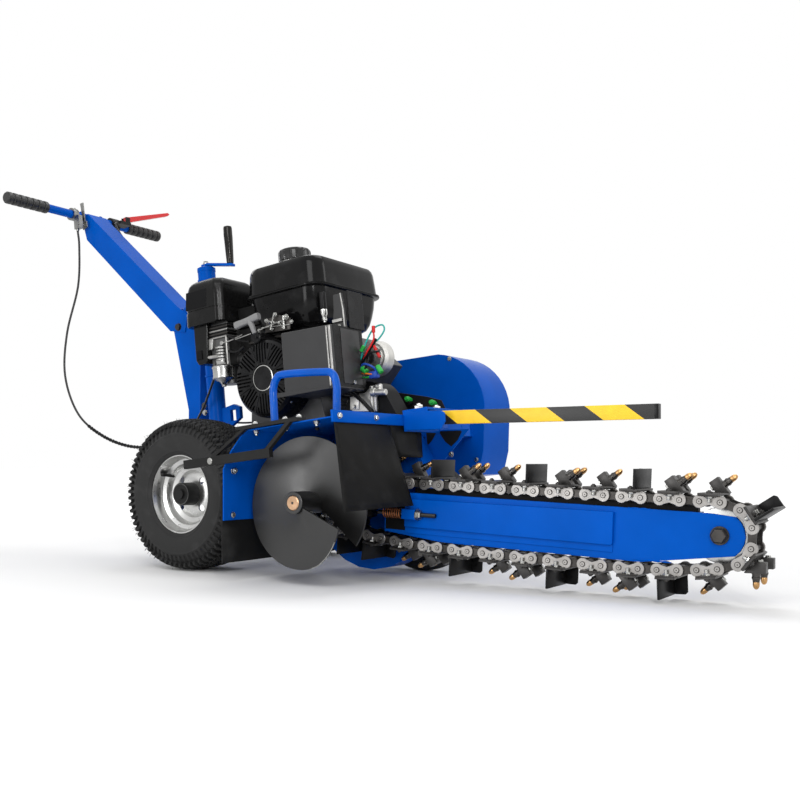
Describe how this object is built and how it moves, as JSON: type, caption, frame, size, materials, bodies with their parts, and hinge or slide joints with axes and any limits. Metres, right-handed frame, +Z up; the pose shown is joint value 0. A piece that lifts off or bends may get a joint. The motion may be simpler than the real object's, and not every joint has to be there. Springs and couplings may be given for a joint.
{
  "type": "walk-behind trencher",
  "caption": "Two-wheeled walk-behind trencher with an engine, belt drive, digging chain on a boom, spoil auger under a hood, folding handle and screw jack.",
  "frame": {"origin": "on the ground, at the centre of the machine's bounding box", "axes": "+X forwards, from the handle to the boom's tip; +Z up; +Y to the side with the belt guard"},
  "size_m": [2.1038, 0.819, 1.1081],
  "materials": {
    "blue_paint": "gloss",
    "black_paint": "satin",
    "black_rubber": "matte",
    "tyre_rubber": "matte",
    "black_plastic": "satin",
    "zinc_plate": "satin",
    "cast_aluminium": "satin",
    "bare_steel": "satin",
    "spring_steel": "satin",
    "red_paint": "gloss",
    "hazard_yellow": "satin"
  },
  "bodies": {
    "chassis": {"air_filter": "black_plastic", "auger_flap": "black_rubber", "axle": "zinc_plate", "bar_bracket": "blue_paint", "belt_guard": "blue_paint", "boom_flap": "black_rubber", "carburettor": "cast_aluminium", "clutch_cable": "black_rubber", "control_box": "black_plastic", "digging_chain": "bare_steel", "drive_belt": "black_rubber", "drive_case": "blue_paint", "drive_chain": "bare_steel", "engine_block": "cast_aluminium", "foot_step": "black_paint", "front_rail": "blue_paint", "fuel_tank": "black_paint", "gauge_axle": "zinc_plate", "grab_bar": "blue_paint", "guard_plate": "blue_paint", "hinge_bolt": "zinc_plate", "hood": "blue_paint", "jack_tube": "blue_paint", "main_frame": "blue_paint", "muffler": "bare_steel", "post": "blue_paint", "rear_skirt": "black_rubber", "recoil_cover": "black_plastic", "safety_bar": "hazard_yellow", "shaft_bearing": "cast_aluminium", "starter_motor": "zinc_plate", "tension_rod": "zinc_plate", "throttle_cable": "black_rubber"},
    "near_wheel": {"near_rim": "cast_aluminium", "near_tyre": "tyre_rubber"},
    "far_wheel": {"far_rim": "cast_aluminium", "far_tyre": "tyre_rubber"},
    "gauge_wheel_body": {"gauge_wheel": "black_rubber"},
    "head_rotor": {"head_shaft": "zinc_plate", "head_sprocket": "bare_steel", "auger": "black_paint", "large_sprocket": "bare_steel"},
    "jackshaft": {"pinion_shaft": "zinc_plate", "driven_pulley": "black_paint"},
    "crank": {"engine_pulley": "bare_steel"},
    "boom": {"boom_bar": "blue_paint", "idler_bolt": "blue_paint", "tension_spring": "spring_steel"},
    "idler": {"tip_idler": "bare_steel"},
    "handle": {"handle_arm": "blue_paint", "near_grip": "black_rubber", "far_grip": "black_rubber", "throttle_clamp": "black_plastic", "clutch_perch": "black_plastic"},
    "throttle": {"throttle_lever": "zinc_plate"},
    "clutch": {"clutch_lever": "red_paint"},
    "starter_pull": {"recoil_handle": "black_plastic"},
    "cap": {"fuel_cap": "black_plastic"},
    "jack_handle": {"jack_crank": "blue_paint"},
    "jack_post": {"jack_leg": "zinc_plate"}
  },
  "joints": [
    {"name": "near_wheel_spin", "type": "hinge", "parent": "chassis", "child": "near_wheel", "pos_m": [-0.33204, -0.2025, 0.18974], "axis": [0, 1, 0], "continuous": true},
    {"name": "far_wheel_spin", "type": "hinge", "parent": "chassis", "child": "far_wheel", "pos_m": [-0.33204, 0.2655, 0.18974], "axis": [0, 1, 0], "continuous": true},
    {"name": "gauge_wheel_spin", "type": "hinge", "parent": "chassis", "child": "gauge_wheel_body", "pos_m": [0.16796, 0.0765, 0.13724], "axis": [0, 1, 0], "continuous": true},
    {"name": "head_spin", "type": "hinge", "parent": "chassis", "child": "head_rotor", "pos_m": [0.10393, -0.1285, 0.18127], "axis": [0, 1, 0], "continuous": true},
    {"name": "jackshaft_spin", "type": "hinge", "parent": "chassis", "child": "jackshaft", "pos_m": [0.0927, 0.3315, 0.40582], "axis": [0, 1, 0], "continuous": true},
    {"name": "crank_spin", "type": "hinge", "parent": "chassis", "child": "crank", "pos_m": [-0.1622, 0.3315, 0.47757], "axis": [0, 1, 0], "continuous": true},
    {"name": "boom_tension", "type": "slide", "parent": "chassis", "child": "boom", "axis": [0.9992, 0, -0.0401], "range_m": [-0.012, 0]},
    {"name": "idler_spin", "type": "hinge", "parent": "boom", "child": "idler", "pos_m": [0.94797, -0.1285, 0.13296], "axis": [0, 1, 0], "continuous": true},
    {"name": "handle_tilt", "type": "hinge", "parent": "chassis", "child": "handle", "pos_m": [-0.60762, 0.0315, 0.65529], "axis": [0, 1, 0], "range_deg": [-20, 4], "deforming": ["throttle_cable", "clutch_cable"]},
    {"name": "throttle_turn", "type": "hinge", "parent": "handle", "child": "throttle", "pos_m": [-0.99822, -0.0162, 0.99552], "axis": [0, 1, 0], "range_deg": [0, 35]},
    {"name": "clutch_squeeze", "type": "hinge", "parent": "handle", "child": "clutch", "pos_m": [-0.99748, 0.1435, 1.04588], "axis": [-0.9945, 0, -0.1045], "range_deg": [0, 14], "stiffness_Nm_per_rad": 6, "springref_deg": -11.46},
    {"name": "starter_cord", "type": "slide", "parent": "chassis", "child": "starter_pull", "axis": [0, -1, 0], "range_m": [0, 0.45], "stiffness_N_per_m": 15, "springref_m": -0.1},
    {"name": "cap_turn", "type": "hinge", "parent": "chassis", "child": "cap", "pos_m": [-0.19895, 0.0215, 0.78894], "axis": [-0.1045, 0, 0.9945], "range_deg": [0, 90]},
    {"name": "jack_wind", "type": "hinge", "parent": "chassis", "child": "jack_handle", "pos_m": [-0.51185, 0.0095, 0.81467], "axis": [0.1045, 0, -0.9945], "range_deg": [0, 10800]},
    {"name": "jack_lift", "type": "slide", "parent": "chassis", "child": "jack_post", "axis": [0.1045, 0, -0.9945], "range_m": [0, 0.181]}
  ],
  "couplings": [
    {"joint": "jackshaft_spin", "follows": "head_spin", "ratio": 3},
    {"joint": "crank_spin", "follows": "head_spin", "ratio": 9},
    {"joint": "idler_spin", "follows": "head_spin", "ratio": 1.1939},
    {"joint": "jack_lift", "follows": "jack_wind", "m_per_rad": 0.0009549}
  ]
}
